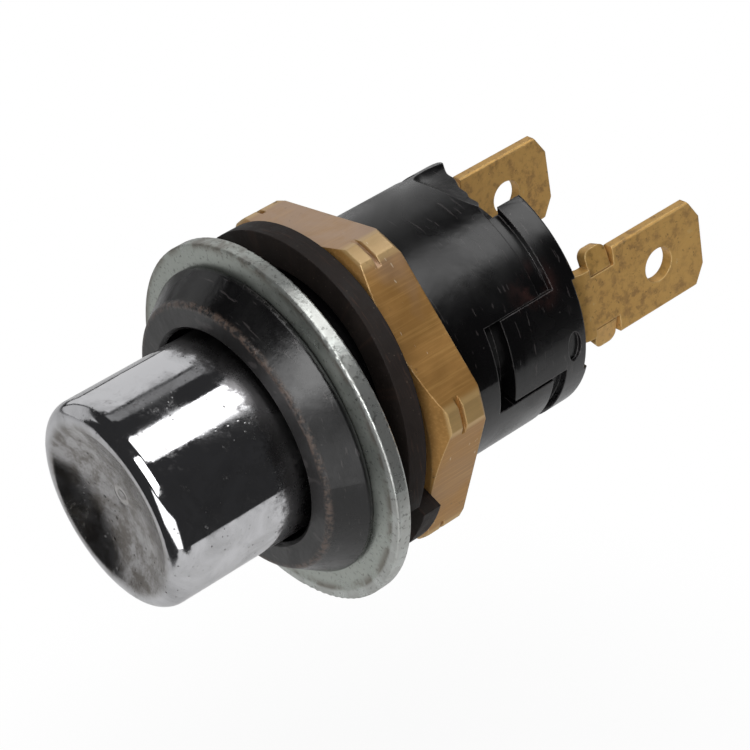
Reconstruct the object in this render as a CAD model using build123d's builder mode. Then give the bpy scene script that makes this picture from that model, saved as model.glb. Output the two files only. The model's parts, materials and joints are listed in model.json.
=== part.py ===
from build123d import *
import os
from math import cos, radians, sin

os.makedirs("parts", exist_ok=True)

# Panel pushbutton switch with a chromed button, a clamp nut and two tab terminals.
# Sizes are in millimetres and angles in degrees.
# The plunger axis lies along Y: the button faces -Y and the tabs point to +Y.
# The origin is on that axis, in the seat behind the bezel where the mounting washer rests.
# Angles round the axis are counted from +X towards +Z.

# Clearances
running_clearance = 0.05
press_clearance = 0.02
spring_clearance = 0.3
button_clearance = 0.37
thread_clearance = 0.35
fibre_clearance = 0.28
washer_clearance = 0.43
bridge_clearance = 1.6
cut_margin = 1.0

# Housing: bezel, neck and barrel in one moulding
barrel_radius = 8.82
barrel_end = 16.45
barrel_wall = 1.32
bezel_length = 2.5
bezel_front_step = 0.25
bezel_rear_step = 1.91
bezel_edge = 0.3
bore_mouth_chamfer = 0.25
web_front = 4.6
web_thickness = 1.8

# Windows in the barrel, open to the rear, and the keys between them
window_front = 11.8
window_low_angle = -17.5
window_high_angle = 23.2
key_half_width = 3.8
key_end = 19.4

# Broken key at the top: its torn edge and the hollow flaked out in front of it
torn_edge = [
    (-3.9, 19.4),
    (-2.6, 18.95),
    (-1.9, 18.6),
    (-1.2, 18.5),
    (0.0, 17.95),
    (0.9, 17.75),
    (1.4, 17.45),
    (2.5, 17.25),
    (3.0, 16.85),
    (3.9, 16.5),
]
flake_radius = 2.3
flake_centre_y = 17.8
flake_centre_above_barrel = 1.4
flake_left_x = -2.6
flake_right_x = 3.2

# Rear cap
neck_depth = 0.47
rim_front = 17.6
rim_end = 19.6
rim_edge = 0.2
plug_front = 15.4
lug_front = 13.1
lug_low_angle = -15.5
lug_high_angle = 22.7
lug_thickness = 0.85
skirt_front = 11.0
skirt_end = 14.4
skirt_thickness = 0.5
skirt_spread = 6.0
channel_depth = 1.8
dimple_angle = -6.0
dimple_y = 18.25
dimple_half_length = 0.55
dimple_half_width = 1.1
dimple_depth = 0.3
exit_recess_depth = 0.4
exit_recess_half_width = 3.3

# Button cap, drawn from sheet
button_radius = 6.96
button_wall = 0.45
button_front = -12.0
button_end = 1.5
button_edge = 1.1
dish_angle = 22.0
crimp_length = 0.4
crimp_reach = 0.5

# Button core and plunger stem
core_disc_thickness = 2.4
core_sleeve_wall = 0.85
hub_radius = 3.4
hub_length = 1.6
stem_radius = 2.0
stem_head_radius = 3.0
stem_head_thickness = 1.0
stem_end_chamfer = 0.3
stem_tail = 0.8
clip_groove_radius = 1.6
clip_thickness = 0.6
clip_gap = 2.4
stop_clip_radius = 3.2
retaining_clip_radius = 2.9

# Return spring and its seat
seat_thickness = 0.4
seat_radius = 5.4
return_spring_radius = 4.5
return_wire_radius = 0.3
return_spring_turns = 6

# Contact stack on the stem
stop_washer_thickness = 0.8
stop_washer_radius = 4.0
contact_spring_length = 2.4
contact_spring_radius = 2.75
contact_wire_radius = 0.2
contact_spring_turns = 3
bush_flange_thickness = 0.6
bush_flange_radius = 3.6
bush_sleeve_radius = 2.9
bridge_thickness = 0.8
bridge_margin = 0.1
insulating_washer_thickness = 0.5
insulating_washer_radius = 3.2
contact_gap = 2.5

# Fixed contacts
rivet_head_radius = 1.1
rivet_head_thickness = 0.5
rivet_shank_radius = 0.7
rivet_tail_radius = 1.0
rivet_tail_length = 0.4

# Tab terminals
tab_thickness = 0.8
tab_width = 6.35
tab_end = 31.45
tab_corner_length = 0.85
tab_corner_width = 1.4
tab_hole_radius = 1.2
tab_hole_from_end = 3.95
tab_edge_break = 0.12
joggle_start = 20.2
joggle_end = 21.0
root_width = 5.0
leg_width = 4.0
foot_margin = 0.2
bend_radius = 0.9
ear_start = 21.6
ear_length = 1.8
ear_slit = 0.3
ear_crease = 1.9
ear_reach = 3.6
ear_corner = 0.6
ear_angle = 15.0

# The two tabs as they stand, the left one bent outwards and a little higher
right_leg_depth = 0.6
left_leg_depth = 0.05
right_joggle = 0.35
left_joggle = 0.7
right_lift = 0.0
left_lift = 0.45

# Mounting hardware on the neck
washer_thickness = 1.05
washer_width = 3.05
washer_shift_x = 0.22
washer_shift_z = -0.3
washer_edge = 0.15
nut_sides = 6
nut_front = 4.85
nut_thickness = 3.6
nut_wall = 1.11
nut_corner_rise = 1.22
nut_flat_angle = 36.0
nut_chamfer_depth = 0.13
nut_chamfer_length = 0.75
nut_rear_break = 0.25
nut_groove_depth = 0.3
nut_groove_width = 0.35
fibre_thickness = 1.35
fibre_width = 2.15
fibre_front_end_angle = -18.7
fibre_rear_end_angle = -25.5
fibre_bend_span = 90.0
fibre_end_lift = 1.95
fibre_bend_steps = 6

# Places that follow from the sizes above
bezel_front_radius = barrel_radius + bezel_front_step
bezel_rear_radius = barrel_radius + bezel_rear_step
button_bore_radius = button_radius + button_clearance
chamber_radius = barrel_radius - barrel_wall
neck_radius = barrel_radius - neck_depth
web_rear = web_front + web_thickness
stem_bore_radius = stem_radius + running_clearance
plug_radius = chamber_radius - running_clearance
bridge_radius = chamber_radius - bridge_clearance
rivet_x = bridge_radius - rivet_head_radius - bridge_margin
foot_inner_x = rivet_x - rivet_tail_radius - foot_margin
seat_front = web_front - seat_thickness
stop_washer_end = web_rear + stop_washer_thickness
stop_clip_end = stop_washer_end + clip_thickness
contact_spring_end = stop_clip_end + contact_spring_length
bush_flange_end = contact_spring_end + bush_flange_thickness
bridge_end = bush_flange_end + bridge_thickness
insulating_washer_end = bridge_end + insulating_washer_thickness
retaining_clip_end = insulating_washer_end + clip_thickness
stem_end = retaining_clip_end + stem_tail
rivet_front = bridge_end + contact_gap
foot_front = rivet_front + rivet_head_thickness
foot_end = foot_front + tab_thickness
channel_floor = rim_end - channel_depth
channel_half_width = key_half_width + running_clearance
right_leg_x = plug_radius - right_leg_depth - tab_thickness / 2
left_leg_x = plug_radius - left_leg_depth - tab_thickness / 2
right_tab_x = right_leg_x + right_joggle
left_tab_x = left_leg_x + left_joggle
washer_bore_radius = barrel_radius + washer_clearance
washer_outer_radius = washer_bore_radius + washer_width
nut_bore_radius = barrel_radius + thread_clearance
nut_flat_distance = nut_bore_radius + nut_wall
nut_corner_radius = nut_flat_distance + nut_corner_rise
nut_chamfer_radius = nut_flat_distance - nut_chamfer_depth
nut_groove_radius = nut_corner_radius - nut_groove_depth
fibre_bore_radius = barrel_radius + fibre_clearance
fibre_outer_radius = fibre_bore_radius + fibre_width
dish_radius = (button_radius - button_edge - button_edge * sin(radians(dish_angle))) / sin(
    radians(dish_angle)
)
dish_floor = button_front + (button_edge + dish_radius) * (1 - cos(radians(dish_angle)))
core_front = dish_floor + button_wall + press_clearance
core_radius = button_radius - button_wall - press_clearance
core_disc_end = core_front + core_disc_thickness
core_end = button_end - crimp_length
hub_end = core_disc_end + hub_length
fibre_front = nut_front - fibre_thickness
nut_end = nut_front + nut_thickness


def station(y):
    """Plane across the axis at y: its x is X, its y is Z, and it faces the button."""
    return Plane(origin=(0, y, 0), x_dir=(1, 0, 0), z_dir=(0, -1, 0))


def turned(outline):
    """Half profile to be revolved about Y, from points of radius and y."""
    with BuildSketch(Plane.XY) as profile:
        with BuildLine():
            Polyline(*outline, close=True)
        make_face()
    return profile.sketch


def ring_sector(inner, outer, low_angle, high_angle):
    """Section of a ring between two radii and two angles."""
    span = high_angle - low_angle
    with BuildSketch() as section:
        with BuildLine():
            near = CenterArc((0, 0), inner, low_angle, span)
            far = CenterArc((0, 0), outer, low_angle, span)
            Line(near @ 0, far @ 0)
            Line(near @ 1, far @ 1)
        make_face()
    return section.sketch


def ring(inner, outer, front, end):
    """Plain ring about the axis between two stations, added to the part being built."""
    with BuildSketch(station(end)) as section:
        Circle(outer)
        Circle(inner, mode=Mode.SUBTRACT)
    extrude(section.sketch, amount=end - front)


def cup_profile(inset):
    """Half profile of the button, from its outside or, with an inset, from its cavity."""
    side = button_radius - inset
    with BuildSketch(Plane.XY) as profile:
        with BuildLine():
            dish = CenterArc((0, dish_floor - dish_radius), dish_radius + inset, 90, -dish_angle)
            edge = CenterArc(
                (button_radius - button_edge, button_front + button_edge),
                button_edge - inset,
                270 - dish_angle,
                90 + dish_angle,
            )
            Line(dish @ 1, edge @ 0)
            Polyline(edge @ 1, (side, button_end), (0, button_end), dish @ 0)
        make_face()
    return profile.sketch


def coil(radius, wire_radius, front, end, turns):
    """Helical spring with ground ends between two stations, added to the part being built."""
    with BuildLine() as line:
        Helix(
            pitch=(end - front) / turns,
            height=end - front,
            radius=radius,
            center=(0, front, 0),
            direction=(0, 1, 0),
        )
    path = line.line
    with BuildSketch(Plane(origin=path @ 0, z_dir=path % 0)) as wire:
        Circle(wire_radius)
    sweep(wire.sketch, path=path, is_frenet=True)
    with BuildSketch(station(end)) as reach:
        Circle(radius + 2 * wire_radius)
    extrude(reach.sketch, amount=end - front, mode=Mode.INTERSECT)


def spring_clip(outer, front):
    """Open ring that snaps into a groove of the stem, added to the part being built."""
    with BuildSketch(station(front + clip_thickness)) as section:
        Circle(outer)
        Circle(clip_groove_radius + press_clearance, mode=Mode.SUBTRACT)
        with Locations((0, -outer)):
            Rectangle(clip_gap, 2 * outer, mode=Mode.SUBTRACT)
    extrude(section.sketch, amount=clip_thickness)


# Housing
with BuildPart() as housing:
    revolve(
        turned(
            [
                (button_bore_radius, -bezel_length),
                (bezel_front_radius, -bezel_length),
                (bezel_rear_radius, 0),
                (barrel_radius, 0),
                (barrel_radius, barrel_end),
                (chamber_radius, barrel_end),
                (chamber_radius, web_rear),
                (stem_bore_radius, web_rear),
                (stem_bore_radius, web_front),
                (button_bore_radius, web_front),
            ]
        ),
        axis=Axis.Y,
    )
    front_edges = housing.edges().filter_by(GeomType.CIRCLE).group_by(Axis.Y)[0].sort_by(SortBy.RADIUS)
    widest_edge = housing.edges().filter_by(GeomType.CIRCLE).sort_by(SortBy.RADIUS)[-1]
    fillet([front_edges[-1], widest_edge], radius=bezel_edge)
    mouth_edge = housing.edges().filter_by(GeomType.CIRCLE).group_by(Axis.Y)[0].sort_by(SortBy.RADIUS)[0]
    chamfer(mouth_edge, length=bore_mouth_chamfer)
    # Keys that pass between the two halves of the rear cap's rim
    with BuildSketch(station(key_end)):
        Circle(barrel_radius)
        Circle(chamber_radius, mode=Mode.SUBTRACT)
        Rectangle(2 * key_half_width, 2 * barrel_radius, mode=Mode.INTERSECT)
    extrude(amount=key_end - barrel_end)
    # Windows for the lugs of the rear cap
    for turn in (0, 180):
        with BuildSketch(station(barrel_end)):
            add(
                ring_sector(
                    chamber_radius - cut_margin,
                    barrel_radius + cut_margin,
                    window_low_angle + turn,
                    window_high_angle + turn,
                )
            )
        extrude(amount=barrel_end - window_front, mode=Mode.SUBTRACT)
    # Top key torn off along a slanting line
    with BuildSketch(Plane.XY.offset(chamber_radius / 2)):
        with BuildLine():
            tear = Spline(*torn_edge)
            Polyline(
                tear @ 1,
                (torn_edge[-1][0], key_end + cut_margin),
                (torn_edge[0][0], key_end + cut_margin),
                tear @ 0,
            )
        make_face()
    extrude(amount=barrel_radius, mode=Mode.SUBTRACT)
    # Flake out of the surface in front of the tear
    flake_z = barrel_radius + flake_centre_above_barrel
    with BuildSketch(Plane.YZ.offset(flake_left_x)):
        with Locations((flake_centre_y, flake_z)):
            Circle(flake_radius)
    extrude(amount=flake_right_x - flake_left_x, mode=Mode.SUBTRACT)
    with Locations((flake_left_x, flake_centre_y, flake_z), (flake_right_x, flake_centre_y, flake_z)):
        Sphere(flake_radius, mode=Mode.SUBTRACT)
housing.part.label = "housing"
export_step(housing.part, "parts/housing.step")


# Rear cap with its two insulating lugs
with BuildPart() as rear_cap:
    revolve(
        turned(
            [
                (0, plug_front),
                (plug_radius, plug_front),
                (plug_radius, barrel_end),
                (neck_radius, barrel_end),
                (neck_radius, rim_front),
                (barrel_radius, rim_front),
                (barrel_radius, rim_end),
                (0, rim_end),
            ]
        ),
        axis=Axis.Y,
    )
    rim_edges = rear_cap.edges().filter_by(GeomType.CIRCLE).group_by(Axis.Y)[-1]
    fillet(rim_edges, radius=rim_edge)
    for turn in (0, 180):
        # Lug: thin in front of the plug, solid beside it
        lug_angles = (lug_low_angle + turn, lug_high_angle + turn)
        with BuildSketch(station(rim_front)):
            add(ring_sector(barrel_radius - lug_thickness, barrel_radius, *lug_angles))
        extrude(amount=rim_front - lug_front)
        with BuildSketch(station(rim_front)):
            add(ring_sector(plug_radius / 2, barrel_radius, *lug_angles))
        extrude(amount=rim_front - plug_front)
        # Skirt inside the barrel behind the window, joined to the lug
        with BuildSketch(station(skirt_end)):
            add(ring_sector(plug_radius - skirt_thickness, barrel_radius, *lug_angles))
        extrude(amount=skirt_end - lug_front)
        skirt_angles = (lug_angles[0] - skirt_spread, lug_angles[1] + skirt_spread)
        with BuildSketch(station(skirt_end)):
            add(ring_sector(plug_radius - skirt_thickness, plug_radius, *skirt_angles))
        extrude(amount=skirt_end - skirt_front)
    # Channel across the rear face between the two terminals
    with BuildSketch(station(rim_end)):
        Rectangle(2 * channel_half_width, 2 * (barrel_radius + cut_margin))
    extrude(amount=channel_depth, mode=Mode.SUBTRACT)
    # Room for the keys of the housing beside the plug
    with BuildSketch(station(channel_floor)):
        Rectangle(2 * channel_half_width, 2 * (barrel_radius + cut_margin))
        Circle(plug_radius, mode=Mode.SUBTRACT)
    extrude(amount=channel_floor - barrel_end, mode=Mode.SUBTRACT)
    # Slots for the terminals, with a shallow recess where each one comes out
    bend_room = bend_radius - tab_thickness / 2 + running_clearance
    for leg_x, inward in ((right_leg_x, -1), (-left_leg_x, 1)):
        with BuildSketch(station(rim_end)):
            with Locations((leg_x, 0)):
                Rectangle(tab_thickness + 2 * press_clearance, leg_width + 2 * press_clearance)
        extrude(amount=rim_end - plug_front, mode=Mode.SUBTRACT)
        bend_room_x = leg_x + inward * (tab_thickness + bend_room) / 2
        with BuildSketch(station(plug_front)):
            with Locations((bend_room_x, 0)):
                Rectangle(bend_room, leg_width + 2 * press_clearance)
        extrude(amount=-bend_room, mode=Mode.SUBTRACT)
        recess_width = barrel_radius - abs(leg_x) - tab_thickness / 2
        recess_x = leg_x - inward * (tab_thickness + recess_width) / 2
        with BuildSketch(station(rim_end)):
            with Locations((recess_x, 0)):
                Rectangle(recess_width, 2 * exit_recess_half_width)
        extrude(amount=exit_recess_depth, mode=Mode.SUBTRACT)
    # Blind recesses for the stem and for the rivets' tails
    with BuildSketch(station(plug_front)):
        Circle(stem_radius + spring_clearance)
    extrude(
        amount=-(stem_end + contact_gap - plug_front + spring_clearance), mode=Mode.SUBTRACT
    )
    with BuildSketch(station(plug_front)):
        with Locations((-rivet_x, 0), (rivet_x, 0)):
            Circle(rivet_tail_radius + running_clearance)
    extrude(amount=-(rivet_tail_length + running_clearance), mode=Mode.SUBTRACT)
    # Moulding dimple on the rim over each lug
    for turn in (0, 180):
        angle = radians(dimple_angle + turn)
        outward = (cos(angle), 0, sin(angle))
        tangent_plane = Plane(
            origin=(barrel_radius * cos(angle), dimple_y, barrel_radius * sin(angle)),
            x_dir=(0, 1, 0),
            z_dir=outward,
        )
        with BuildSketch(tangent_plane.offset(dimple_depth)):
            Ellipse(dimple_half_length, dimple_half_width)
        extrude(amount=-2 * dimple_depth, mode=Mode.SUBTRACT)
rear_cap.part.label = "rear_cap"
export_step(rear_cap.part, "parts/rear_cap.step")


# Button cap: a drawn cup with a rolled edge and a dished face, crimped behind its core
with BuildPart() as button_cap:
    revolve(cup_profile(0), axis=Axis.Y)
    revolve(cup_profile(button_wall), axis=Axis.Y, mode=Mode.SUBTRACT)
    ring(button_radius - button_wall - crimp_reach, button_radius, button_end - crimp_length, button_end)
button_cap.part.label = "button_cap"
export_step(button_cap.part, "parts/button_cap.step")


# Button core: moulded filling of the cap that holds the stem
with BuildPart() as button_core:
    revolve(
        turned(
            [
                (stem_head_radius + press_clearance, core_front),
                (core_radius, core_front),
                (core_radius, core_end),
                (core_radius - core_sleeve_wall, core_end),
                (core_radius - core_sleeve_wall, core_disc_end),
                (hub_radius, core_disc_end),
                (hub_radius, hub_end),
                (stem_radius + press_clearance, hub_end),
                (stem_radius + press_clearance, core_front + stem_head_thickness),
                (stem_head_radius + press_clearance, core_front + stem_head_thickness),
            ]
        ),
        axis=Axis.Y,
    )
    corner_edge = button_core.edges().filter_by(GeomType.CIRCLE).group_by(Axis.Y)[0].sort_by(SortBy.RADIUS)
    fillet(corner_edge[-1], radius=button_edge)
button_core.part.label = "button_core"
export_step(button_core.part, "parts/button_core.step")


# Plunger stem with a head and two clip grooves
with BuildPart() as plunger_stem:
    revolve(
        turned(
            [
                (0, core_front),
                (stem_head_radius, core_front),
                (stem_head_radius, core_front + stem_head_thickness),
                (stem_radius, core_front + stem_head_thickness),
                (stem_radius, stop_washer_end),
                (clip_groove_radius, stop_washer_end),
                (clip_groove_radius, stop_clip_end),
                (stem_radius, stop_clip_end),
                (stem_radius, insulating_washer_end),
                (clip_groove_radius, insulating_washer_end),
                (clip_groove_radius, retaining_clip_end),
                (stem_radius, retaining_clip_end),
                (stem_radius, stem_end - stem_end_chamfer),
                (stem_radius - stem_end_chamfer, stem_end),
                (0, stem_end),
            ]
        ),
        axis=Axis.Y,
    )
plunger_stem.part.label = "plunger_stem"
export_step(plunger_stem.part, "parts/plunger_stem.step")


# Return spring between its seat on the web and the core's disc
with BuildPart() as return_spring:
    coil(return_spring_radius, return_wire_radius, core_disc_end, seat_front, return_spring_turns)
return_spring.part.label = "return_spring"
export_step(return_spring.part, "parts/return_spring.step")

with BuildPart() as spring_seat:
    ring(stem_bore_radius + spring_clearance, seat_radius, seat_front, web_front)
spring_seat.part.label = "spring_seat"
export_step(spring_seat.part, "parts/spring_seat.step")


# Stop washer and its clip, which meet the rear of the web when the button is out
with BuildPart() as stop_washer:
    ring(stem_bore_radius, stop_washer_radius, web_rear, stop_washer_end)
stop_washer.part.label = "stop_washer"
export_step(stop_washer.part, "parts/stop_washer.step")

with BuildPart() as stop_clip:
    spring_clip(stop_clip_radius, stop_washer_end)
stop_clip.part.label = "stop_clip"
export_step(stop_clip.part, "parts/stop_clip.step")


# Contact stack: spring, flanged bush, bridge, insulating washer and clip
with BuildPart() as contact_spring:
    coil(
        contact_spring_radius,
        contact_wire_radius,
        stop_clip_end,
        contact_spring_end,
        contact_spring_turns,
    )
contact_spring.part.label = "contact_spring"
export_step(contact_spring.part, "parts/contact_spring.step")

with BuildPart() as contact_bush:
    ring(stem_bore_radius, bush_flange_radius, contact_spring_end, bush_flange_end)
    ring(stem_bore_radius, bush_sleeve_radius, bush_flange_end, bridge_end)
contact_bush.part.label = "contact_bush"
export_step(contact_bush.part, "parts/contact_bush.step")

with BuildPart() as contact_bridge:
    ring(bush_sleeve_radius + press_clearance, bridge_radius, bush_flange_end, bridge_end)
contact_bridge.part.label = "contact_bridge"
export_step(contact_bridge.part, "parts/contact_bridge.step")

with BuildPart() as insulating_washer:
    ring(stem_bore_radius, insulating_washer_radius, bridge_end, insulating_washer_end)
insulating_washer.part.label = "insulating_washer"
export_step(insulating_washer.part, "parts/insulating_washer.step")

with BuildPart() as retaining_clip:
    spring_clip(retaining_clip_radius, insulating_washer_end)
retaining_clip.part.label = "retaining_clip"
export_step(retaining_clip.part, "parts/retaining_clip.step")


# Tab terminal on one side: foot, leg, joggled root, two stop ears and a chamfered tab
def tab_outline(lift):
    """Outline of the flat blank across the tab, with notches where the ears are lanced."""
    half = tab_width / 2
    ear_end = ear_start + ear_length
    leg = [
        (foot_front - cut_margin, leg_width / 2),
        (rim_end, leg_width / 2),
    ]
    upper = [
        (rim_end, root_width / 2),
        (ear_start, root_width / 2),
        (ear_start, ear_crease),
        (ear_end + ear_slit, ear_crease),
        (ear_end + ear_slit, half),
        (tab_end - tab_corner_length, half),
        (tab_end, half - tab_corner_width),
    ]
    lower = [(y, -z) for y, z in reversed(upper)]
    tab = [(y, z + lift) for y, z in upper + lower]
    other_leg = [(y, -z) for y, z in reversed(leg)]
    with BuildSketch(Plane.YZ) as blank:
        with BuildLine():
            Polyline(*leg, *tab, *other_leg, close=True)
        make_face()
    return blank.sketch


def make_terminal(side, leg_distance, tab_distance, lift):
    """Terminal on the +X or -X side of the axis, with its leg and its tab at two distances."""
    leg_x = side * leg_distance
    tab_x = side * tab_distance
    foot_y = foot_front + tab_thickness / 2
    with BuildPart() as terminal:
        with BuildSketch(Plane.XY):
            with BuildLine():
                FilletPolyline(
                    (side * foot_inner_x, foot_y),
                    (leg_x, foot_y),
                    (leg_x, joggle_start),
                    (tab_x, joggle_end),
                    (tab_x, tab_end),
                    radius=bend_radius,
                )
            trace(line_width=tab_thickness)
        extrude(amount=tab_width, both=True)
        extrude(tab_outline(lift), amount=2 * tab_x, mode=Mode.INTERSECT)
        # Stop ears bent a little towards the axis
        for up in (-1, 1):
            crease = Plane(
                origin=(tab_x, ear_start + ear_length / 2, lift + up * ear_crease),
                x_dir=(0, 1, 0),
                z_dir=(up * cos(radians(ear_angle)), 0, side * sin(radians(ear_angle))),
            )
            with BuildSketch(crease.offset(-tab_thickness / 2)):
                with Locations((0, (ear_reach - ear_crease) / 2)):
                    Rectangle(ear_length, ear_reach - ear_crease)
                fillet(vertices().group_by(Axis.Y)[-1], radius=ear_corner)
            extrude(amount=tab_thickness)
        # Hole through the tab
        with BuildSketch(Plane.YZ):
            with Locations((tab_end - tab_hole_from_end, lift)):
                Circle(tab_hole_radius)
        extrude(amount=2 * tab_x, mode=Mode.SUBTRACT)
        # Hole through the foot for its contact rivet
        with BuildSketch(station(foot_end)):
            with Locations((side * rivet_x, 0)):
                Circle(rivet_shank_radius + press_clearance)
        extrude(amount=tab_thickness, mode=Mode.SUBTRACT)
        long_edges = terminal.edges().filter_by(Axis.Y).filter_by(
            lambda edge: abs(abs(edge.center().Z - lift) - tab_width / 2) < press_clearance
        )
        chamfer(long_edges, length=tab_edge_break)
    return terminal


# Contact rivet in the foot of a terminal
def make_rivet(side):
    """Rivet with a domeless head in front of the foot and a spread tail behind it."""
    with BuildPart() as rivet:
        for radius, front, end in (
            (rivet_head_radius, rivet_front, foot_front),
            (rivet_shank_radius, foot_front, foot_end),
            (rivet_tail_radius, foot_end, foot_end + rivet_tail_length),
        ):
            with BuildSketch(station(end)):
                with Locations((side * rivet_x, 0)):
                    Circle(radius)
            extrude(amount=end - front)
    return rivet


for side, side_name, leg_distance, tab_distance, lift in (
    (1, "right", right_leg_x, right_tab_x, right_lift),
    (-1, "left", left_leg_x, left_tab_x, left_lift),
):
    terminal = make_terminal(side, leg_distance, tab_distance, lift)
    terminal.part.label = "terminal_" + side_name
    export_step(terminal.part, "parts/terminal_" + side_name + ".step")
    rivet = make_rivet(side)
    rivet.part.label = "contact_rivet_" + side_name
    export_step(rivet.part, "parts/contact_rivet_" + side_name + ".step")


# Mounting washer, loose on the neck and hanging from it
with BuildPart() as mounting_washer:
    with BuildSketch(station(washer_thickness)):
        with Locations((washer_shift_x, washer_shift_z)):
            Circle(washer_outer_radius)
            Circle(washer_bore_radius, mode=Mode.SUBTRACT)
    extrude(amount=washer_thickness)
    outer_edges = mounting_washer.edges().filter_by(GeomType.CIRCLE).sort_by(SortBy.RADIUS)[-2:]
    fillet(outer_edges, radius=washer_edge)
mounting_washer.part.label = "mounting_washer"
export_step(mounting_washer.part, "parts/mounting_washer.step")


# Fibre washer, split: flat against the nut and sprung forwards towards its front end
def fibre_section(angle, lift):
    """Section of the washer in the plane through the axis at an angle."""
    outward = Vector(cos(radians(angle)), 0, sin(radians(angle)))
    plane = Plane(
        origin=(0, fibre_front - lift, 0), x_dir=outward, z_dir=outward.cross(Vector(0, 1, 0))
    )
    with BuildSketch(plane) as section:
        with Locations(((fibre_bore_radius + fibre_outer_radius) / 2, fibre_thickness / 2)):
            Rectangle(fibre_outer_radius - fibre_bore_radius, fibre_thickness)
    return section.sketch


with BuildPart() as fibre_washer:
    bend_start = fibre_front_end_angle + fibre_bend_span
    with BuildSketch(station(nut_front)):
        add(ring_sector(fibre_bore_radius, fibre_outer_radius, bend_start, fibre_rear_end_angle + 360))
    extrude(amount=fibre_thickness)
    shares = [step / fibre_bend_steps for step in range(fibre_bend_steps + 1)]
    loft([fibre_section(bend_start - share * fibre_bend_span, fibre_end_lift * share**2) for share in shares])
fibre_washer.part.label = "fibre_washer"
export_step(fibre_washer.part, "parts/fibre_washer.step")


# Clamp nut: hexagon with turned-down corners, a front chamfer and a groove round its corners
half_side = 180 / nut_sides
with BuildPart() as clamp_nut:
    with BuildSketch(station(nut_end)):
        RegularPolygon(nut_flat_distance, nut_sides, major_radius=False, rotation=nut_flat_angle - half_side)
        Circle(nut_bore_radius, mode=Mode.SUBTRACT)
    extrude(amount=nut_thickness)
    revolve(
        turned(
            [
                (0, nut_front),
                (nut_chamfer_radius, nut_front),
                (nut_corner_radius, nut_front + nut_chamfer_length),
                (nut_corner_radius, nut_end - nut_rear_break),
                (nut_corner_radius - nut_rear_break, nut_end),
                (0, nut_end),
            ]
        ),
        axis=Axis.Y,
        mode=Mode.INTERSECT,
    )
    groove_y = nut_front + nut_thickness / 2
    with BuildSketch(station(groove_y + nut_groove_width / 2)):
        Circle(nut_corner_radius + cut_margin)
        Circle(nut_groove_radius, mode=Mode.SUBTRACT)
    extrude(amount=nut_groove_width, mode=Mode.SUBTRACT)
clamp_nut.part.label = "clamp_nut"
export_step(clamp_nut.part, "parts/clamp_nut.step")
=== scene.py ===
import json
from math import pi

import bpy
from mathutils import Matrix, Vector


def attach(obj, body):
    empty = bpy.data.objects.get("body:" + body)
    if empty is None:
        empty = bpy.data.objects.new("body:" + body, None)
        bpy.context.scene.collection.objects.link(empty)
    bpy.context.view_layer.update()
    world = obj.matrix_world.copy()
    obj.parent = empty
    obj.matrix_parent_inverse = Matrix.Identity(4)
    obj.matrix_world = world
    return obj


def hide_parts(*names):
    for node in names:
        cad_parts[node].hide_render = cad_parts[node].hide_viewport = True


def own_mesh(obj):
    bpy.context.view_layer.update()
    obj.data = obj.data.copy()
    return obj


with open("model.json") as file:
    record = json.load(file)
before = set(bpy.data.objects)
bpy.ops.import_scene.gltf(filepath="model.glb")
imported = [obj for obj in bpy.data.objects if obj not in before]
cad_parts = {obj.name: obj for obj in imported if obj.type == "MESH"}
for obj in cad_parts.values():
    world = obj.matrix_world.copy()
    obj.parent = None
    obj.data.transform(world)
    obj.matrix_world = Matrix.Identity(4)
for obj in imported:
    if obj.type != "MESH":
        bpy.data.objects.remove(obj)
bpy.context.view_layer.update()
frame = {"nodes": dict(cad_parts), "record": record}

MM = 0.001

# Camera of the photograph
CAMERA_PLACE = Vector((0.11386, -0.07031, 0.08483))
CAMERA_FORWARD = Vector((-0.6971, 0.4847, -0.5281)).normalized()
CAMERA_UPWARD = Vector((0.234, 0, 0.972))
CAMERA_LENS = 123.07
CAMERA_SENSOR = 36.0
CAMERA_NEAREST = 0.005

# Softened edges, and the cosine between the softened and the true normal where their wear and painted
# highlight begin
EDGE_ROUNDING = 0.00012
EDGE_SAMPLES = 4
EDGE_START = 0.995

# Places of wear, marks and painted shade in mm: points, and bands of two distances from where it is
# absent to where it is full
BEZEL_DEPTH = (0.2, -0.2)
BEZEL_FACE_DEPTH = (-2.2, -2.4)
BEZEL_RIM_RADIUS = (8.7, 9.0)
BEZEL_RIM_DEPTH = (-2.1, -2.4)
SCUFF = (7.9, 16.4, 4.2)
SCUFF_REACH = (2.4, 0.2)
TEAR = (0.4, 18.0, 8.2)
TEAR_REACH = (3.2, 1.4)
TEAR_DEPTH = (15.9, 16.3)
BUTTON_FACE_RADIUS = (6.2, 5.4)
BUTTON_FACE_DEPTH = (-9.5, -10.5)
RING_MARK = (0.15, -11.4, 0.6)
RING_MARK_OUTSIDE = (0.92, 0.8)
RING_MARK_INSIDE = (0.7, 0.58)
# Band of painted shade on the chrome next to the bezel, and how ragged its edge is
PAINTED_BEZEL_SHADE_DEPTH = (-4.7, -3.6)
PAINTED_BEZEL_SHADE_RAGGEDNESS = 0.5
ZINC_STAIN_RADIUS = (11.3, 11.95)
ZINC_SHEARED_RADIUS = (11.9, 12.15)
NUT_CORNER_RADIUS = (11.22, 11.42)

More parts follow.
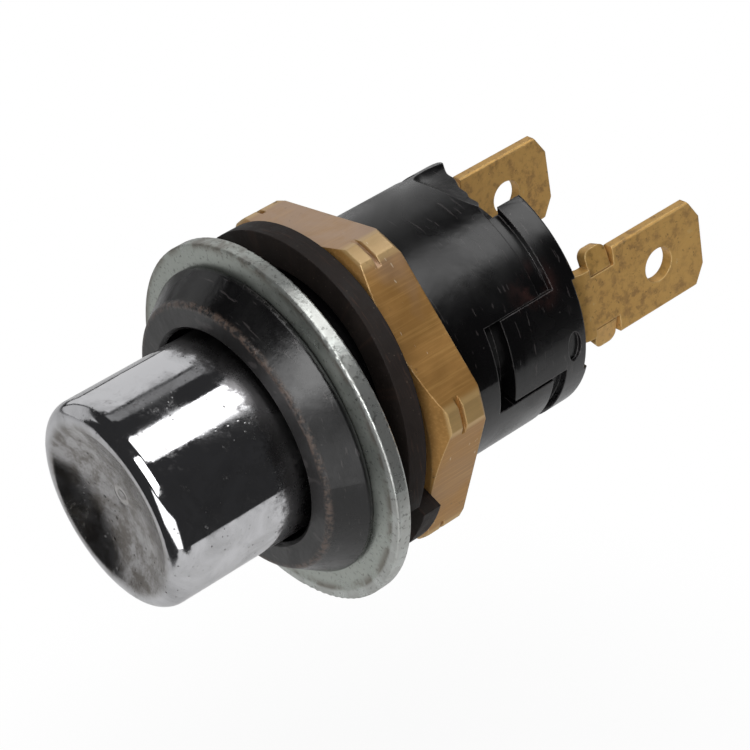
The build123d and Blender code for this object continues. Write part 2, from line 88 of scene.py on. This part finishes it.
# Colours of each finish
TONES = {
    "moulding": {
        "dark": (0.0012, 0.0012, 0.0014),
        "light": (0.0045, 0.0042, 0.0045),
        "face": (0.022, 0.021, 0.021),
        "rim": (0.1, 0.07, 0.055),
        "scuff": (0.075, 0.03, 0.025),
        "tear": (0.03, 0.028, 0.028),
        "dust": (0.16, 0.15, 0.14),
        "scratches": (0.09, 0.08, 0.08),
        "edges": (0.2, 0.185, 0.185),
    },
    "chrome": {
        "bright": (0.72, 0.72, 0.74),
        "haze": (0.5, 0.5, 0.51),
        "worn": (0.2, 0.18, 0.17),
        "pits": (0.05, 0.045, 0.04),
        "face": (0.19, 0.175, 0.16),
        "face pits": (0.07, 0.06, 0.055),
        "mark": (0.75, 0.73, 0.71),
        # painted shade on the chrome next to the bezel
        "painted_bezel_shade": (0.045, 0.04, 0.04),
    },
    "zinc": {
        "dark": (0.29, 0.315, 0.29),
        "light": (0.57, 0.6, 0.55),
        "stain": (0.13, 0.1, 0.075),
        "sheared": (0.6, 0.62, 0.6),
        "specks": (0.1, 0.1, 0.09),
    },
    "fibre": {
        "dark": (0.007, 0.0055, 0.005),
        "light": (0.026, 0.018, 0.015),
        "threads": (0.06, 0.032, 0.022),
        "specks": (0.2, 0.16, 0.12),
    },
    "nut": {
        "dark": (0.29, 0.145, 0.04),
        "light": (0.55, 0.295, 0.088),
        "streaks": (0.68, 0.4, 0.13),
        # dust: dust and painted top light on the nut's faces that look up
        "dust": (0.5, 0.36, 0.27),
        "dull": (0.36, 0.25, 0.19),
        "corner": (0.68, 0.48, 0.22),
        "spots": (0.05, 0.03, 0.02),
        "nicks": (0.78, 0.68, 0.5),
        "edges": (0.85, 0.66, 0.36),
    },
    "tab": {
        "dark": (0.5, 0.27, 0.07),
        "light": (0.76, 0.47, 0.15),
        "tarnish": (0.24, 0.13, 0.05),
        "bare": (0.7, 0.55, 0.26),
        "spots": (0.08, 0.045, 0.025),
        "edges": (0.88, 0.68, 0.34),
    },
}

# Finishes of the inner pieces: name, dark and light colour, metallic, roughness
PLAIN_FINISHES = {
    "core_moulding": ("core moulding", (0.4, 0.34, 0.26), (0.52, 0.46, 0.37), 0.0, 0.55),
    "steel": ("turned steel", (0.42, 0.42, 0.42), (0.56, 0.56, 0.55), 1.0, 0.3),
    "spring_steel": ("spring steel", (0.28, 0.28, 0.29), (0.42, 0.42, 0.42), 1.0, 0.32),
    "contact_silver": ("contact silver", (0.6, 0.59, 0.57), (0.76, 0.75, 0.73), 1.0, 0.25),
    "insulator": ("insulator", (0.2, 0.1, 0.045), (0.32, 0.18, 0.09), 0.0, 0.5),
}
PLAIN_CLOUDS = 1200.0
PLAIN_ROUGHNESS_SPREAD = 0.06

# Floor, which lies so low that the object's shadow is faint and falls under it
FLOOR_DEPTH = 0.045
FLOOR_BACK = 1.2
FLOOR_RIGHT = 0.055
FLOOR_FRONT = 0.058
FLOOR_LEFT_CORNER = -0.04
FLOOR_RIGHT_CORNER = 0.025
FLOOR_SLANT = 0.25
FLOOR_COLOUR = (0.84, 0.84, 0.84, 1.0)
FLOOR_ROUGHNESS = 0.9
SHADOW_REACH = 0.07
WHITENESS_UNDER_OBJECT = 0.9
SURROUND_COLOUR = (0.03, 0.03, 0.031, 1.0)

# Lamps: name, offset from the point they face, width and height in metres, and radiance
LAMP_TARGET = Vector((0, 0.008, 0))
SOFTBOXES = [
    ("top softbox", (0.11, 0.13, 0.33), 0.2, 0.46, 2.6),
    ("front softbox", (0.192, -0.245, 0.218), 0.22, 0.25, 5.0),
    ("left softbox", (-0.328, 0.169, 0.153), 0.375, 0.36, 0.65),
    ("upper left card", (-0.164, 0.168, 0.324), 0.08, 0.36, 0.24),
    ("front left card", (-0.317, -0.138, 0.099), 0.26, 0.24, 0.5),
    ("front card", (0.205, -0.262, -0.075), 0.2, 0.36, 2.0),
]


class Shader:
    """A node material under construction. Its places are the object's own coordinates in metres."""

    def __init__(self, name, **uniform):
        self.material = bpy.data.materials.new(name)
        self.material.use_nodes = True
        self.tree = self.material.node_tree
        self.surface = self.tree.nodes["Principled BSDF"]
        for socket, value in uniform.items():
            self.surface.inputs[socket.replace("_", " ")].default_value = value
        self.place = self.node("ShaderNodeTexCoord").outputs["Object"]
        soft_edges = self.node("ShaderNodeBevel", samples=EDGE_SAMPLES)
        soft_edges.inputs["Radius"].default_value = EDGE_ROUNDING
        self.rounded = soft_edges.outputs["Normal"]

    def node(self, kind, **settings):
        made = self.tree.nodes.new(kind)
        for key, value in settings.items():
            setattr(made, key, value)
        return made

    def feed(self, socket, value):
        """Links a socket, or sets a plain value."""
        if hasattr(value, "is_output"):
            self.tree.links.new(value, socket)
        else:
            socket.default_value = value

    def set(self, socket, value):
        self.feed(self.surface.inputs[socket], value)

    def stretched(self, scale, turn=(0, 0, 0)):
        mapping = self.node("ShaderNodeMapping")
        self.feed(mapping.inputs["Vector"], self.place)
        mapping.inputs["Scale"].default_value = scale
        mapping.inputs["Rotation"].default_value = turn
        return mapping.outputs["Vector"]

    def noise(self, scale, detail=4.0, rough=0.55, distortion=0.0, vector=None):
        made = self.node("ShaderNodeTexNoise")
        self.feed(made.inputs["Vector"], vector or self.place)
        made.inputs["Scale"].default_value = scale
        made.inputs["Detail"].default_value = detail
        made.inputs["Roughness"].default_value = rough
        made.inputs["Distortion"].default_value = distortion
        return made.outputs["Fac"]

    def cells(self, scale):
        made = self.node("ShaderNodeTexVoronoi")
        self.feed(made.inputs["Vector"], self.place)
        made.inputs["Scale"].default_value = scale
        return made.outputs["Distance"]

    def remap(self, value, low, high, to_low=0.0, to_high=1.0):
        """Smooth step from to_low at low to to_high at high."""
        made = self.node("ShaderNodeMapRange", interpolation_type="SMOOTHSTEP")
        self.feed(made.inputs["Value"], value)
        for socket, number in zip(
            ("From Min", "From Max", "To Min", "To Max"), (low, high, to_low, to_high)
        ):
            made.inputs[socket].default_value = number
        return made.outputs["Result"]

    def band(self, distance, limits):
        """0 up to the first limit in mm and 1 from the second."""
        return self.remap(distance, limits[0] * MM, limits[1] * MM)

    def math(self, operation, first, second=0.0):
        made = self.node("ShaderNodeMath", operation=operation)
        self.feed(made.inputs[0], first)
        self.feed(made.inputs[1], second)
        return made.outputs[0]

    def times(self, first, second):
        return self.math("MULTIPLY", first, second)

    def plus(self, base, share, amount):
        """Adds an amount where the share is 1."""
        return self.math("ADD", base, self.times(share, amount))

    def mix(self, share, first, second):
        made = self.node("ShaderNodeMix", data_type="RGBA")
        self.feed(made.inputs["Factor"], share)
        for socket, colour in ((made.inputs[6], first), (made.inputs[7], second)):
            self.feed(socket, (*colour, 1.0) if isinstance(colour, tuple) else colour)
        return made.outputs[2]

    def tint(self, colour, share, strength, tone):
        """Lays a tone over a colour, with the given strength where the share is 1."""
        return self.mix(self.times(share, strength), colour, tone)

    def near(self, point, reach):
        """0 from the first distance of a point in mm and 1 within the second."""
        made = self.node("ShaderNodeVectorMath", operation="DISTANCE")
        self.feed(made.inputs[0], self.place)
        made.inputs[1].default_value = Vector(point) * MM
        outer, inner = reach
        return self.remap(made.outputs["Value"], inner * MM, outer * MM, 1.0, 0.0)

    def along(self, axis):
        made = self.node("ShaderNodeSeparateXYZ")
        self.feed(made.inputs[0], self.place)
        return made.outputs[axis]

    def radius(self):
        """Distance from the plunger axis."""
        squares = [self.math("POWER", self.along(axis), 2.0) for axis in "XZ"]
        return self.math("SQRT", self.math("ADD", *squares))

    def round_place(self, pull):
        """Angle round the plunger axis, y and radius as coordinates, each times its factor."""
        angle = self.math("ARCTAN2", self.along("Z"), self.along("X"))
        made = self.node("ShaderNodeCombineXYZ")
        for socket, value, factor in zip("XYZ", (angle, self.along("Y"), self.radius()), pull):
            self.feed(made.inputs[socket], self.times(value, factor))
        return made.outputs[0]

    def true_normal(self):
        return self.node("ShaderNodeNewGeometry").outputs["True Normal"]

    def edges(self, full):
        """1 where the softened normal's cosine to the true one falls to full, 0 on plain faces."""
        made = self.node("ShaderNodeVectorMath", operation="DOT_PRODUCT")
        self.feed(made.inputs[0], self.rounded)
        self.feed(made.inputs[1], self.true_normal())
        return self.remap(made.outputs["Value"], EDGE_START, full)

    def upwards(self):
        """Share by which a face looks up."""
        made = self.node("ShaderNodeSeparateXYZ")
        self.feed(made.inputs[0], self.true_normal())
        return made.outputs["Z"]

    def relief(self, *layers):
        """Sets the normal from layers of height, strength and depth in mm, the lowest first."""
        normal = self.rounded
        for height, strength, depth in layers:
            made = self.node("ShaderNodeBump")
            self.feed(made.inputs["Height"], height)
            made.inputs["Strength"].default_value = strength
            made.inputs["Distance"].default_value = depth * MM
            self.feed(made.inputs["Normal"], normal)
            normal = made.outputs["Normal"]
        self.set("Normal", normal)


def black_moulding():
    shader = Shader("black moulding", Metallic=0.0, Specular_IOR_Level=0.5)
    tones = TONES["moulding"]
    radius = shader.radius()
    along = shader.along("Y")
    clouds = shader.noise(260.0, detail=5.0, rough=0.6)
    patches = shader.noise(130.0, rough=0.6, distortion=0.5)
    grit = shader.noise(2400.0, rough=0.7)
    rings = shader.noise(1.0, rough=0.7, vector=shader.round_place((1.2, 9000.0, 0.0)))
    slanting = shader.stretched((420.0, 5200.0, 900.0), turn=(0.5, 0.2, 0.6))
    lines = shader.noise(1.0, detail=2.0, rough=0.5, distortion=0.3, vector=slanting)
    scratches = shader.remap(lines, 0.655, 0.7)
    dust = shader.times(
        shader.remap(shader.cells(1500.0), 0.11, 0.05), shader.remap(clouds, 0.55, 0.68)
    )
    colour = shader.mix(clouds, tones["dark"], tones["light"])
    # Worn annulus round the button, and the brown rubbed rim of the bezel
    front = shader.band(along, BEZEL_FACE_DEPTH)
    colour = shader.tint(colour, front, 0.5, tones["face"])
    rim = shader.times(shader.band(radius, BEZEL_RIM_RADIUS), shader.band(along, BEZEL_RIM_DEPTH))
    rubbed = shader.times(rim, shader.remap(grit, 0.4, 0.6))
    colour = shader.tint(colour, rubbed, 0.8, tones["rim"])
    # Reddish scuffs on the barrel beside the window
    scuff = shader.times(shader.near(SCUFF, SCUFF_REACH), shader.remap(clouds, 0.45, 0.6))
    colour = shader.tint(colour, scuff, 0.5, tones["scuff"])
    # Rough broken surface at the torn key
    broken = shader.times(shader.near(TEAR, TEAR_REACH), shader.band(along, TEAR_DEPTH))
    colour = shader.tint(colour, broken, shader.remap(grit, 0.4, 0.7), tones["tear"])
    colour = shader.tint(colour, dust, 0.5, tones["dust"])
    colour = shader.tint(colour, scratches, 0.3, tones["scratches"])
    # Edges and creases painted lighter: edge wear and painted highlight
    edge_wear_and_highlight = shader.times(shader.edges(0.85), shader.remap(clouds, 0.4, 0.62))
    colour = shader.tint(colour, edge_wear_and_highlight, 0.6, tones["edges"])
    shader.set("Base Color", colour)
    haze = shader.times(shader.band(along, BEZEL_DEPTH), shader.remap(grit, 0.35, 0.65))
    rough = shader.remap(patches, 0.35, 0.7, 0.15, 0.38)
    rough = shader.plus(rough, haze, 0.04)
    rough = shader.plus(rough, front, 0.12)
    rough = shader.plus(rough, broken, 0.3)
    shader.set("Roughness", rough)
    shader.relief(
        (rings, 0.14, 0.03),
        (patches, 0.35, 0.25),
        (shader.times(haze, grit), 0.12, 0.04),
        (scratches, 0.12, 0.02),
        (shader.times(grit, broken), 0.8, 0.12),
        (shader.times(rubbed, grit), 0.35, 0.06),
    )
    return shader.material


def button_chrome():
    shader = Shader("button chrome", Metallic=1.0)
    tones = TONES["chrome"]
    radius = shader.radius()
    along = shader.along("Y")
    haze = shader.noise(300.0, detail=6.0, rough=0.62, distortion=0.6)
    broad = shader.noise(110.0, detail=3.0, distortion=0.3)
    mottle = shader.noise(1400.0, detail=5.0, rough=0.7)
    pits = shader.times(
        shader.remap(shader.cells(2600.0), 0.22, 0.08), shader.remap(haze, 0.48, 0.64)
    )
    worn = shader.times(shader.remap(mottle, 0.53, 0.7), shader.remap(broad, 0.46, 0.64))
    colour = shader.mix(shader.remap(haze, 0.4, 0.7), tones["bright"], tones["haze"])
    colour = shader.tint(colour, worn, 0.5, tones["worn"])
    colour = shader.tint(colour, pits, 0.8, tones["pits"])
    # The pressed face is dull and stained, with a pale ring near its middle
    face = shader.times(
        shader.band(radius, BUTTON_FACE_RADIUS), shader.band(along, BUTTON_FACE_DEPTH)
    )
    blots = shader.noise(700.0, detail=6.0, rough=0.75, distortion=0.2)
    colour = shader.tint(colour, face, shader.remap(blots, 0.38, 0.62, 0.5, 1.0), tones["face"])
    face_pits = shader.times(
        shader.remap(shader.cells(1700.0), 0.24, 0.1), shader.remap(mottle, 0.48, 0.6)
    )
    face_pits = shader.times(face_pits, face)
    colour = shader.tint(colour, face_pits, 0.6, tones["face pits"])
    mark = shader.math(
        "SUBTRACT", shader.near(RING_MARK, RING_MARK_OUTSIDE), shader.near(RING_MARK, RING_MARK_INSIDE)
    )
    colour = shader.tint(colour, mark, 0.35, tones["mark"])
    # Painted shade where the button runs into the bezel: the chrome is darkened there, standing in for
    # the bezel's dark reflection
    raggedness = PAINTED_BEZEL_SHADE_RAGGEDNESS * MM
    ragged = shader.math("ADD", along, shader.remap(mottle, 0.3, 0.7, -raggedness, raggedness))
    painted_bezel_shade = shader.band(ragged, PAINTED_BEZEL_SHADE_DEPTH)
    colour = shader.tint(colour, painted_bezel_shade, 0.8, tones["painted_bezel_shade"])
    shader.set("Base Color", colour)
    rough = shader.remap(haze, 0.4, 0.72, 0.05, 0.2)
    rough = shader.plus(rough, pits, 0.25)
    rough = shader.plus(rough, face, 0.1)
    rough = shader.plus(rough, painted_bezel_shade, 0.2)
    rough = shader.plus(rough, worn, 0.2)
    shader.set("Roughness", rough)
    shader.relief(
        (haze, 0.06, 0.15),
        (broad, 0.16, 0.3),
        (pits, 0.35, 0.03),
        (mottle, 0.06, 0.03),
        (face_pits, 0.4, 0.03),
        (mark, 0.5, 0.05),
    )
    return shader.material


def zinc_plate():
    shader = Shader("zinc plate", Metallic=0.85)
    tones = TONES["zinc"]
    radius = shader.radius()
    clouds = shader.noise(520.0, detail=5.0, rough=0.65)
    grain = shader.noise(3600.0, detail=3.0, rough=0.6)
    stain = shader.times(shader.band(radius, ZINC_STAIN_RADIUS), shader.remap(clouds, 0.4, 0.55))
    colour = shader.mix(clouds, tones["dark"], tones["light"])
    colour = shader.tint(colour, stain, 0.7, tones["stain"])
    colour = shader.tint(colour, shader.band(radius, ZINC_SHEARED_RADIUS), 0.7, tones["sheared"])
    colour = shader.tint(colour, shader.remap(grain, 0.56, 0.66), 0.55, tones["specks"])
    shader.set("Base Color", colour)
    shader.set("Roughness", shader.remap(clouds, 0.3, 0.7, 0.26, 0.42))
    shader.relief((grain, 0.3, 0.04), (clouds, 0.2, 0.12))
    return shader.material


def fibre():
    shader = Shader("vulcanised fibre", Metallic=0.0, Specular_IOR_Level=0.25)
    tones = TONES["fibre"]
    clouds = shader.noise(500.0, detail=5.0, rough=0.65)
    threads = shader.noise(1.0, rough=0.6, vector=shader.round_place((6.0, 5000.0, 0.0)))
    colour = shader.mix(clouds, tones["dark"], tones["light"])
    colour = shader.tint(colour, shader.remap(threads, 0.55, 0.7), 0.45, tones["threads"])
    specks = shader.remap(shader.cells(2200.0), 0.12, 0.05)
    colour = shader.tint(colour, specks, 0.25, tones["specks"])
    shader.set("Base Color", colour)
    shader.set("Roughness", shader.remap(clouds, 0.3, 0.7, 0.55, 0.8))
    shader.relief((threads, 0.4, 0.06), (clouds, 0.3, 0.15))
    return shader.material


def nut_brass():
    shader = Shader("turned brass", Metallic=0.55)
    tones = TONES["nut"]
    clouds = shader.noise(240.0, detail=5.0, rough=0.62, distortion=0.4)
    turned = shader.stretched((5200.0, 160.0, 5200.0))
    lines = shader.noise(1.0, detail=3.0, rough=0.6, vector=turned)
    spots = shader.times(
        shader.remap(shader.noise(1100.0, rough=0.7), 0.6, 0.7), shader.remap(clouds, 0.46, 0.6)
    )
    colour = shader.mix(clouds, tones["dark"], tones["light"])
    colour = shader.tint(colour, shader.remap(lines, 0.45, 0.7), 0.35, tones["streaks"])
    # Dust and painted top light on the faces that look up, and dull patches all round
    dust_and_top_light = shader.remap(shader.upwards(), 0.75, 0.97)
    colour = shader.tint(colour, dust_and_top_light, shader.remap(clouds, 0.3, 0.6, 0.3, 0.8), tones["dust"])
    dull = shader.remap(shader.noise(150.0, detail=3.0), 0.5, 0.68)
    colour = shader.tint(colour, dull, 0.5, tones["dull"])
    corner = shader.band(shader.radius(), NUT_CORNER_RADIUS)
    colour = shader.tint(colour, corner, 0.6, tones["corner"])
    colour = shader.tint(colour, spots, 0.85, tones["spots"])
    slanting = shader.stretched((900.0, 3800.0, 1500.0), turn=(0.3, 0.1, 0.5))
    strokes = shader.noise(1.0, detail=1.0, rough=0.5, distortion=0.2, vector=slanting)
    nicks = shader.remap(strokes, 0.755, 0.775)
    colour = shader.tint(colour, nicks, 0.6, tones["nicks"])
    # Edges and creases painted lighter: edge wear and painted highlight
    edge_wear_and_highlight = shader.times(shader.edges(0.9), shader.remap(clouds, 0.35, 0.6))
    colour = shader.tint(colour, edge_wear_and_highlight, 0.6, tones["edges"])
    shader.set("Base Color", colour)
    shader.set("Roughness", shader.remap(clouds, 0.3, 0.7, 0.34, 0.52))
    shader.relief((lines, 0.16, 0.03), (spots, 0.3, 0.04), (nicks, 0.3, 0.04))
    return shader.material


def tab_brass():
    shader = Shader("rolled brass", Metallic=0.5)
    tones = TONES["tab"]
    clouds = shader.noise(420.0, detail=6.0, rough=0.68, distortion=0.8)
    mottle = shader.noise(1500.0, rough=0.65)
    colour = shader.mix(clouds, tones["dark"], tones["light"])
    tarnish = shader.times(shader.remap(mottle, 0.44, 0.62), shader.remap(clouds, 0.62, 0.4))
    colour = shader.tint(colour, tarnish, 0.6, tones["tarnish"])
    bare = shader.times(shader.remap(mottle, 0.4, 0.3), shader.remap(clouds, 0.5, 0.62))
    colour = shader.tint(colour, bare, 0.6, tones["bare"])
    spots = shader.remap(shader.noise(2600.0, detail=3.0, rough=0.7), 0.62, 0.72)
    colour = shader.tint(colour, spots, 0.6, tones["spots"])
    # Edges and creases painted lighter: edge wear and painted highlight
    edge_wear_and_highlight = shader.times(shader.edges(0.9), shader.remap(clouds, 0.3, 0.55))
    colour = shader.tint(colour, edge_wear_and_highlight, 0.6, tones["edges"])
    shader.set("Base Color", colour)
    shader.set("Roughness", shader.remap(clouds, 0.3, 0.7, 0.34, 0.52))
    shader.relief((mottle, 0.2, 0.06), (clouds, 0.18, 0.12))
    return shader.material


def plain(name, dark, light, metallic, rough):
    """Finish of an inner piece: two close colours in fine clouds."""
    shader = Shader(name, Metallic=metallic)
    clouds = shader.noise(PLAIN_CLOUDS)
    shader.set("Base Color", shader.mix(clouds, dark, light))
    smoothest, roughest = rough - PLAIN_ROUGHNESS_SPREAD, rough + PLAIN_ROUGHNESS_SPREAD
    shader.set("Roughness", shader.remap(clouds, 0.3, 0.7, smoothest, roughest))
    shader.relief((clouds, 0.15, 0.05))
    return shader.material


FINISHES = {
    "moulding": black_moulding(),
    "button_chrome": button_chrome(),
    "zinc_plate": zinc_plate(),
    "fibre": fibre(),
    "nut_brass": nut_brass(),
    "tab_brass": tab_brass(),
}
for slot, values in PLAIN_FINISHES.items():
    FINISHES[slot] = plain(*values)
SLOT_OF = {part["node"]: part["material_slot"] for part in frame["record"]["subparts"]}

for node_name, node_object in frame["nodes"].items():
    node_object.data.materials.clear()
    node_object.data.materials.append(FINISHES[SLOT_OF[node_name]])


# Springs, which shorten towards their fixed ends as their joints move; here each is copied in its same
# shape onto the body that carries it, in place of the original
behaviour = frame["record"]["behaviour"]
for joint in behaviour["joints"]:
    for spring in joint.get("deforming_nodes", []):
        node_name = spring["node"]
        carrier = next(body for body, nodes in behaviour["bodies"].items() if node_name in nodes)
        wound = bpy.data.objects.new(node_name + "_wound", frame["nodes"][node_name].data.copy())
        bpy.context.scene.collection.objects.link(wound)
        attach(wound, carrier)
        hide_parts(node_name)
        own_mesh(wound)


def aim(thing, place, forward, upward):
    """Places a camera or a lamp so that it looks along forward."""
    back = -forward.normalized()
    right = upward.cross(back).normalized()
    turn = Matrix((right, back.cross(right), back)).transposed()
    thing.matrix_world = Matrix.Translation(place) @ turn.to_4x4()


camera_data = bpy.data.cameras.new("camera")
camera_data.lens = CAMERA_LENS
camera_data.sensor_width = CAMERA_SENSOR
camera_data.clip_start = CAMERA_NEAREST
camera = bpy.data.objects.new("camera", camera_data)
bpy.context.scene.collection.objects.link(camera)
aim(camera, CAMERA_PLACE, CAMERA_FORWARD, CAMERA_UPWARD)
bpy.context.scene.camera = camera


def white_to_camera(tree, lit_shader, output, share):
    """Lets camera rays see white through a share of the surface, and other rays the lit shader."""
    rays = tree.nodes.new("ShaderNodeLightPath")
    white = tree.nodes.new("ShaderNodeEmission")
    blend = tree.nodes.new("ShaderNodeMixShader")
    factor = tree.nodes.new("ShaderNodeMath")
    factor.operation = "MULTIPLY"
    if hasattr(share, "is_output"):
        tree.links.new(share, factor.inputs[1])
    else:
        factor.inputs[1].default_value = share
    tree.links.new(rays.outputs["Is Camera Ray"], factor.inputs[0])
    tree.links.new(factor.outputs[0], blend.inputs["Fac"])
    tree.links.new(lit_shader, blend.inputs[1])
    tree.links.new(white.outputs[0], blend.inputs[2])
    tree.links.new(blend.outputs[0], output)


floor_mesh = bpy.data.meshes.new("floor")
corners = [
    (-FLOOR_BACK, -FLOOR_BACK),
    (FLOOR_LEFT_CORNER, -FLOOR_FRONT),
    (FLOOR_RIGHT, -FLOOR_FRONT),
    (FLOOR_RIGHT, FLOOR_RIGHT_CORNER),
    (FLOOR_RIGHT + FLOOR_SLANT * FLOOR_BACK, FLOOR_RIGHT_CORNER + FLOOR_BACK),
    (-FLOOR_BACK, FLOOR_RIGHT_CORNER + FLOOR_BACK),
]
floor_mesh.from_pydata([(x, y, -FLOOR_DEPTH) for x, y in corners], [], [tuple(range(len(corners)))])
floor = bpy.data.objects.new("floor", floor_mesh)
bpy.context.scene.collection.objects.link(floor)
floor_shader = Shader("floor", Roughness=FLOOR_ROUGHNESS, Specular_IOR_Level=0.0)
floor_shader.set("Base Color", FLOOR_COLOUR)
floor_output = floor_shader.tree.nodes["Material Output"].inputs["Surface"]
# The shadow shows under the object, and the floor turns white towards its edges
away = floor_shader.node("ShaderNodeVectorMath", operation="LENGTH")
floor_shader.feed(away.inputs[0], floor_shader.place)
whiteness = floor_shader.remap(
    away.outputs["Value"], FLOOR_DEPTH, SHADOW_REACH, WHITENESS_UNDER_OBJECT, 1.0
)
white_to_camera(floor_shader.tree, floor_shader.surface.outputs[0], floor_output, whiteness)
floor_mesh.materials.append(floor_shader.material)

world = bpy.data.worlds.new("studio")
world.use_nodes = True
bpy.context.scene.world = world
surround = world.node_tree.nodes["Background"]
surround.inputs["Color"].default_value = SURROUND_COLOUR
surround.inputs["Strength"].default_value = 1.0
world_output = world.node_tree.nodes["World Output"].inputs["Surface"]
white_to_camera(world.node_tree, surround.outputs[0], world_output, 1.0)

for name, offset, width, height, radiance in SOFTBOXES:
    lamp = bpy.data.lights.new(name, "AREA")
    lamp.shape = "RECTANGLE"
    lamp.size = width
    lamp.size_y = height
    lamp.energy = radiance * pi * width * height
    holder = bpy.data.objects.new(name, lamp)
    holder.visible_camera = False
    bpy.context.scene.collection.objects.link(holder)
    aim(holder, LAMP_TARGET + Vector(offset), -Vector(offset), Vector((0, 1, 0)))

bpy.context.scene.view_settings.view_transform = "Standard"
